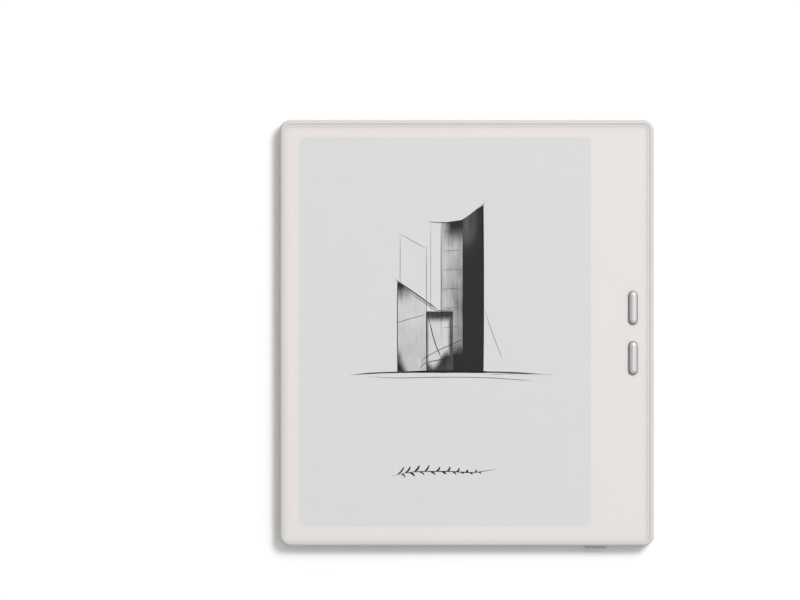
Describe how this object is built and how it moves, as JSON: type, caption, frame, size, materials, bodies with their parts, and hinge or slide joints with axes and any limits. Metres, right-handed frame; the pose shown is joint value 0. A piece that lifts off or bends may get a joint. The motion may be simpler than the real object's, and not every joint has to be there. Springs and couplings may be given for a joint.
{
  "type": "e-reader",
  "caption": "Slim e-reader with a paper-like screen, a wide grip border with raised page keys, and a leather-grained rear.",
  "frame": {"origin": "centre of the rear face, which the object rests on", "axes": "+Z out of the screen, +X towards the grip border with the page keys, +Y towards the top of the page"},
  "size_m": [0.137, 0.1568, 0.0069],
  "materials": {
    "frame_plastic": "fine satin",
    "cover_plastic": "fine satin",
    "grained_skin": "fine leather grain, matt",
    "lens_glass": "etched anti-glare",
    "border_print": "warm white ink behind the lens",
    "clear_film": "clear",
    "paper_screen": "matt light grey paper-like",
    "panel_glass": "coated glass",
    "key_metal": "satin silver grey",
    "plate_metal": "rolled sheet",
    "steel": "plain",
    "nickel": "nickel plated",
    "contact_gold": "gold flash",
    "board_green": "solder mask",
    "chip_black": "moulded epoxy",
    "flex_amber": "polyimide film",
    "ivory_plastic": "moulded",
    "black_plastic": "moulded",
    "cell_foil": "laminated pouch foil",
    "dark_tape": "foam tape",
    "white_tape": "release tape",
    "wire_cover": "insulated wire"
  },
  "bodies": {
    "chassis": {"mid_frame": "frame_plastic", "rear_cover": "cover_plastic", "rear_skin": "grained_skin", "grip_skin": "grained_skin", "mid_plate": "plate_metal", "cover_lens": "lens_glass", "bezel_mask": "border_print", "lens_tape": "dark_tape", "optical_adhesive": "clear_film", "touch_sensor": "clear_film", "touch_flex": "flex_amber", "touch_connector": "ivory_plastic", "light_guide": "clear_film", "front_light_strip": "flex_amber", "light_connector": "ivory_plastic", "eink_film": "paper_screen", "display_backplane": "panel_glass", "display_foam": "dark_tape", "display_flex": "flex_amber", "display_connector": "ivory_plastic", "battery_cell": "cell_foil", "battery_tape": "white_tape", "battery_board": "board_green", "battery_leads": "wire_cover", "battery_connector": "ivory_plastic", "mainboard": "board_green", "soc_shield": "nickel", "soc_chip": "chip_black", "memory_chip": "chip_black", "radio_shield": "nickel", "board_components": "chip_black", "thermal_sheet": "chip_black", "hall_sensor": "chip_black", "microphone": "contact_gold", "antenna_flex": "flex_amber", "antenna_coax": "black_plastic", "usb_c_shell": "steel", "usb_c_tongue": "black_plastic", "card_reader": "steel", "card_contacts": "contact_gold", "eject_pivot": "steel", "speaker_upper": "black_plastic", "speaker_lower": "black_plastic", "speaker_meshes": "black_plastic", "grip_spacer": "cover_plastic", "key_dome_upper": "steel", "key_dome_lower": "steel", "key_flex": "flex_amber", "power_switch": "steel", "board_screws": "steel", "frame_screws": "steel", "cover_magnets": "nickel"},
    "page_key_upper": {"page_key_upper": "key_metal"},
    "page_key_lower": {"page_key_lower": "key_metal"},
    "power_button": {"power_button": "key_metal", "power_plunger": "black_plastic"},
    "card_tray": {"card_tray": "plate_metal", "card_tray_door": "frame_plastic"},
    "eject_rod": {"eject_rod": "steel"},
    "eject_lever": {"eject_lever": "steel"}
  },
  "joints": [
    {"name": "page_key_upper_press", "type": "slide", "parent": "chassis", "child": "page_key_upper", "axis": [0, 0, -1], "range_m": [0, 0.0003], "stiffness_N_per_m": 3000, "deforming": ["key_dome_upper"]},
    {"name": "page_key_lower_press", "type": "slide", "parent": "chassis", "child": "page_key_lower", "axis": [0, 0, -1], "range_m": [0, 0.0003], "stiffness_N_per_m": 3000, "deforming": ["key_dome_lower"]},
    {"name": "power_button_press", "type": "slide", "parent": "chassis", "child": "power_button", "axis": [0, 1, 0], "range_m": [0, 0.0003], "stiffness_N_per_m": 4000},
    {"name": "card_tray_slide", "type": "slide", "parent": "chassis", "child": "card_tray", "axis": [1, 0, 0], "range_m": [0, 0.02]},
    {"name": "eject_rod_push", "type": "slide", "parent": "chassis", "child": "eject_rod", "axis": [-1, 0, 0], "range_m": [0, 0.0012]},
    {"name": "eject_lever_swing", "type": "hinge", "parent": "chassis", "child": "eject_lever", "pos_m": [0.0477, 0.0316, 0.0032], "axis": [0, 0, -1], "range_deg": [0, 22]}
  ],
  "couplings": [
    {"joint": "eject_lever_swing", "follows": "eject_rod_push", "rad_per_m": 319}
  ]
}
